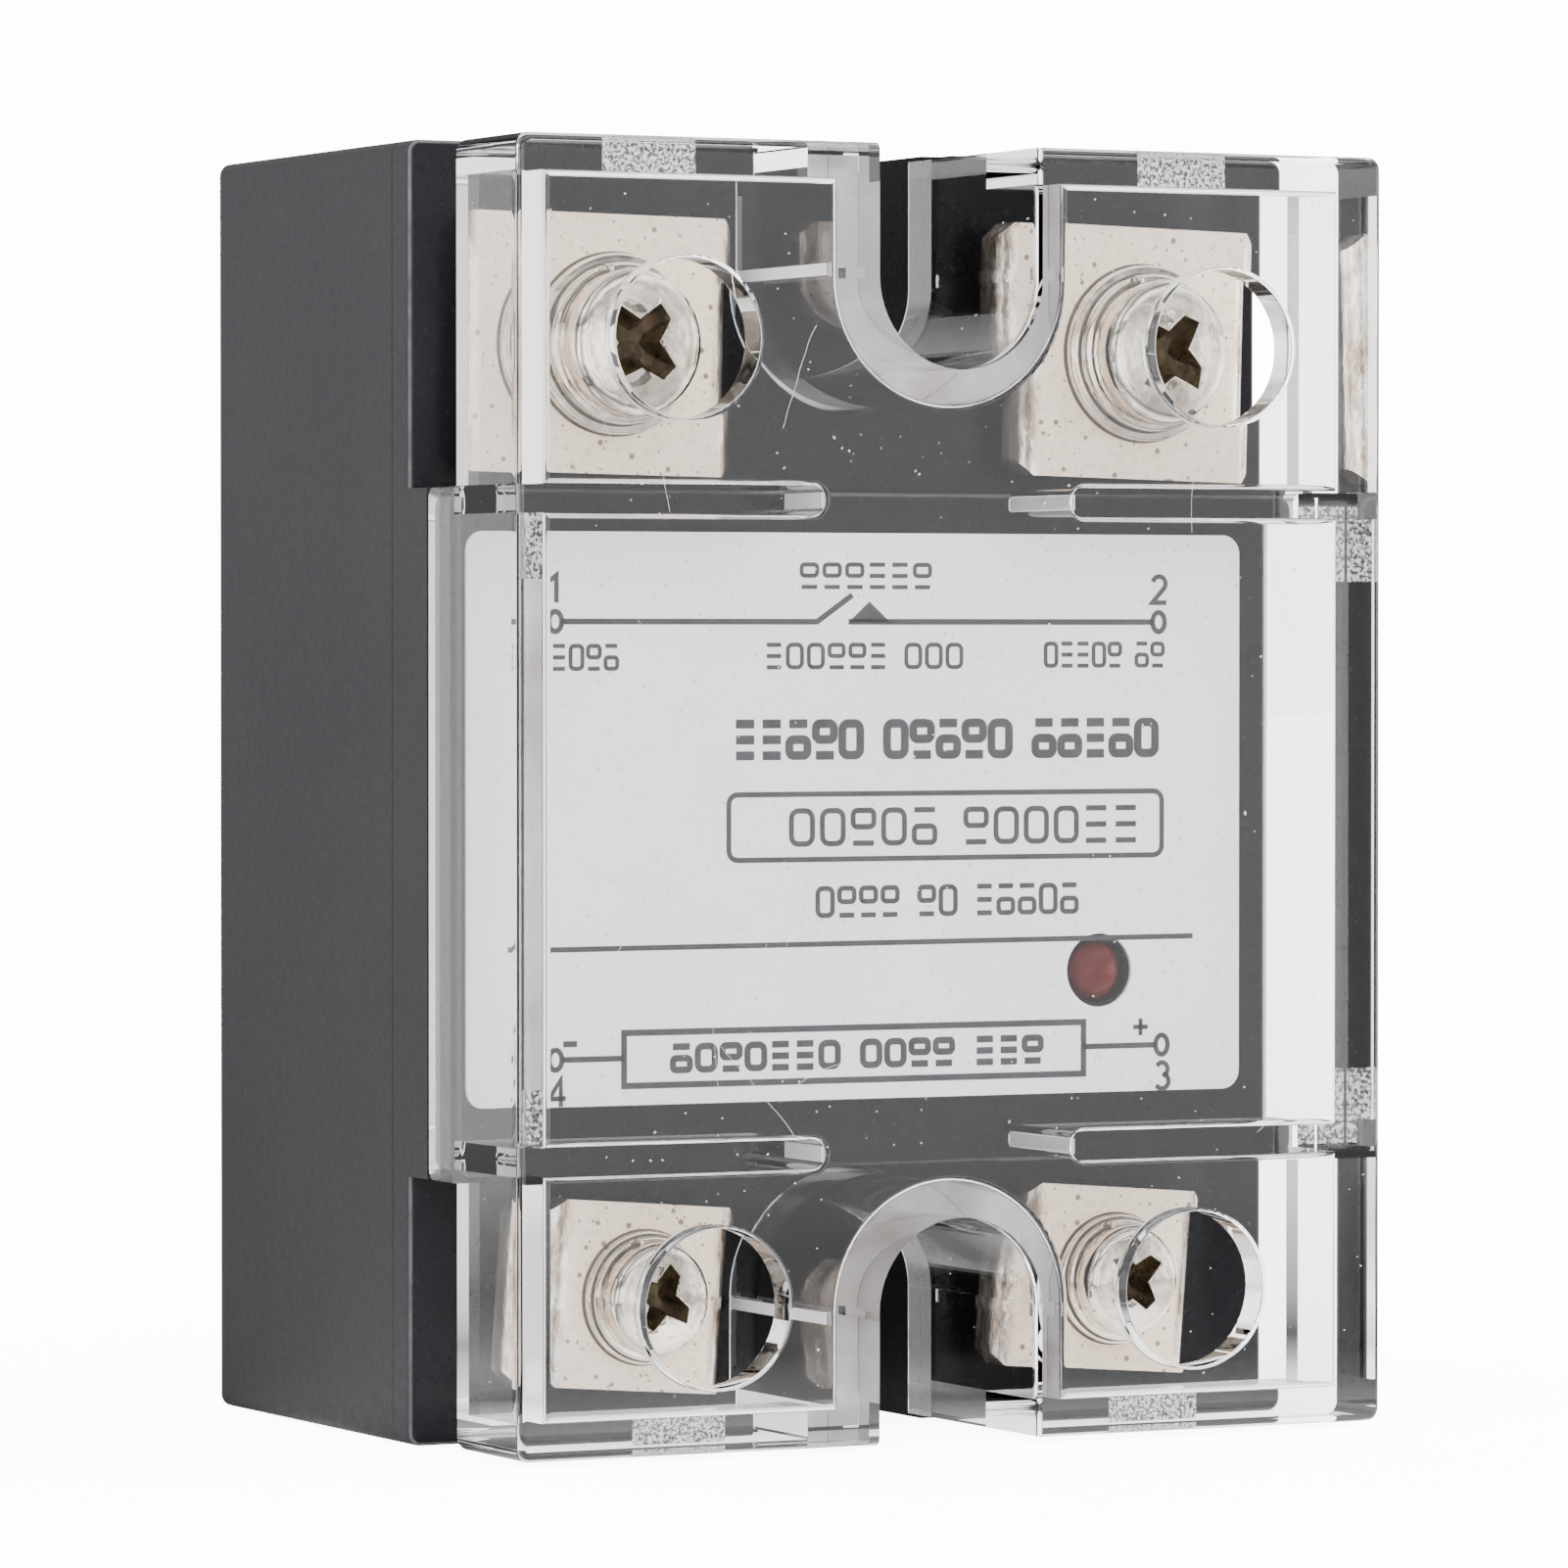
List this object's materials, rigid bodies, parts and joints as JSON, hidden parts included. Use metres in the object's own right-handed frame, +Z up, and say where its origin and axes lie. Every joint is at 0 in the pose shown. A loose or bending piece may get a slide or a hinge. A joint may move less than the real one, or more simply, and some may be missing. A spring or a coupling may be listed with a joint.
{
  "type": "solid state relay",
  "caption": "Panel-mount solid state relay: potted dark housing on a metal base, screw terminals at both ends, indicator light, and a clear front cover.",
  "frame": {"origin": "centre of the flat back mounting face", "axes": "+Y out of the back face, -Y to the front, +Z up along the long side, +X to the right seen from the front"},
  "size_m": [0.045, 0.0344, 0.0604],
  "materials": {
    "housing_plastic": "matte moulded",
    "clear_plastic": "clear polished",
    "base_metal": "milled",
    "label_foil": "satin printed foil",
    "red_lens": "tinted",
    "tinned_metal": "tin plated",
    "resin": "cast",
    "ceramic": "fired",
    "copper": "bare",
    "silicon": "polished",
    "circuit_board": "solder mask",
    "component_black": "moulded",
    "resistor_body": "lacquered",
    "capacitor_body": "dipped",
    "screw_steel": "nickel plated",
    "nickel_plate": "nickel plated, satin"
  },
  "bodies": {
    "relay": {"housing": "housing_plastic", "base_plate": "base_metal", "label_plate": "label_foil", "indicator_led": "red_lens", "led_leads": "tinned_metal", "potting_resin": "resin", "ceramic_substrate": "ceramic", "copper_pads": "copper", "thyristor_chips": "silicon", "chip_straps": "copper", "gate_leads": "copper", "control_pcb": "circuit_board", "optocoupler": "component_black", "drive_transistor": "component_black", "pcb_resistors": "resistor_body", "snubber_resistor": "resistor_body", "snubber_capacitor": "capacitor_body", "terminal_nut_1": "screw_steel", "terminal_pad_1": "tinned_metal", "terminal_nut_2": "screw_steel", "terminal_pad_2": "tinned_metal", "terminal_nut_3": "screw_steel", "terminal_pad_3": "tinned_metal", "terminal_nut_4": "screw_steel", "terminal_pad_4": "tinned_metal"},
    "cover": {"cover": "clear_plastic"},
    "clamp_1": {"clamp_plate_1": "nickel_plate", "flat_washer_1": "screw_steel", "spring_washer_1": "screw_steel"},
    "screw_1": {"terminal_screw_1": "screw_steel"},
    "clamp_2": {"clamp_plate_2": "nickel_plate", "flat_washer_2": "screw_steel", "spring_washer_2": "screw_steel"},
    "screw_2": {"terminal_screw_2": "screw_steel"},
    "clamp_3": {"clamp_plate_3": "nickel_plate", "flat_washer_3": "screw_steel", "spring_washer_3": "screw_steel"},
    "screw_3": {"terminal_screw_3": "screw_steel"},
    "clamp_4": {"clamp_plate_4": "nickel_plate", "flat_washer_4": "screw_steel", "spring_washer_4": "screw_steel"},
    "screw_4": {"terminal_screw_4": "screw_steel"}
  },
  "joints": [
    {"name": "cover_off", "type": "slide", "parent": "relay", "child": "cover", "axis": [0, -1, 0], "range_m": [0, 0.025]},
    {"name": "clamp_1_rise", "type": "slide", "parent": "relay", "child": "clamp_1", "axis": [0, -1, 0], "range_m": [0, 0.0035]},
    {"name": "screw_1_turn", "type": "hinge", "parent": "clamp_1", "child": "screw_1", "pos_m": [-0.01395, -0.0264, 0.02075], "axis": [0, -1, 0], "range_deg": [0, 1801]},
    {"name": "clamp_2_rise", "type": "slide", "parent": "relay", "child": "clamp_2", "axis": [0, -1, 0], "range_m": [0, 0.0035]},
    {"name": "screw_2_turn", "type": "hinge", "parent": "clamp_2", "child": "screw_2", "pos_m": [0.01395, -0.0264, 0.02075], "axis": [0, -1, 0], "range_deg": [0, 1801]},
    {"name": "clamp_3_rise", "type": "slide", "parent": "relay", "child": "clamp_3", "axis": [0, -1, 0], "range_m": [0, 0.0035]},
    {"name": "screw_3_turn", "type": "hinge", "parent": "clamp_3", "child": "screw_3", "pos_m": [0.01245, -0.0264, -0.02335], "axis": [0, -1, 0], "range_deg": [0, 2521]},
    {"name": "clamp_4_rise", "type": "slide", "parent": "relay", "child": "clamp_4", "axis": [0, -1, 0], "range_m": [0, 0.0035]},
    {"name": "screw_4_turn", "type": "hinge", "parent": "clamp_4", "child": "screw_4", "pos_m": [-0.01245, -0.0264, -0.02335], "axis": [0, -1, 0], "range_deg": [0, 2521]}
  ],
  "couplings": [
    {"joint": "screw_1_turn", "follows": "clamp_1_rise", "rad_per_m": 8976},
    {"joint": "screw_2_turn", "follows": "clamp_2_rise", "rad_per_m": 8976},
    {"joint": "screw_3_turn", "follows": "clamp_3_rise", "rad_per_m": 12566},
    {"joint": "screw_4_turn", "follows": "clamp_4_rise", "rad_per_m": 12566}
  ]
}
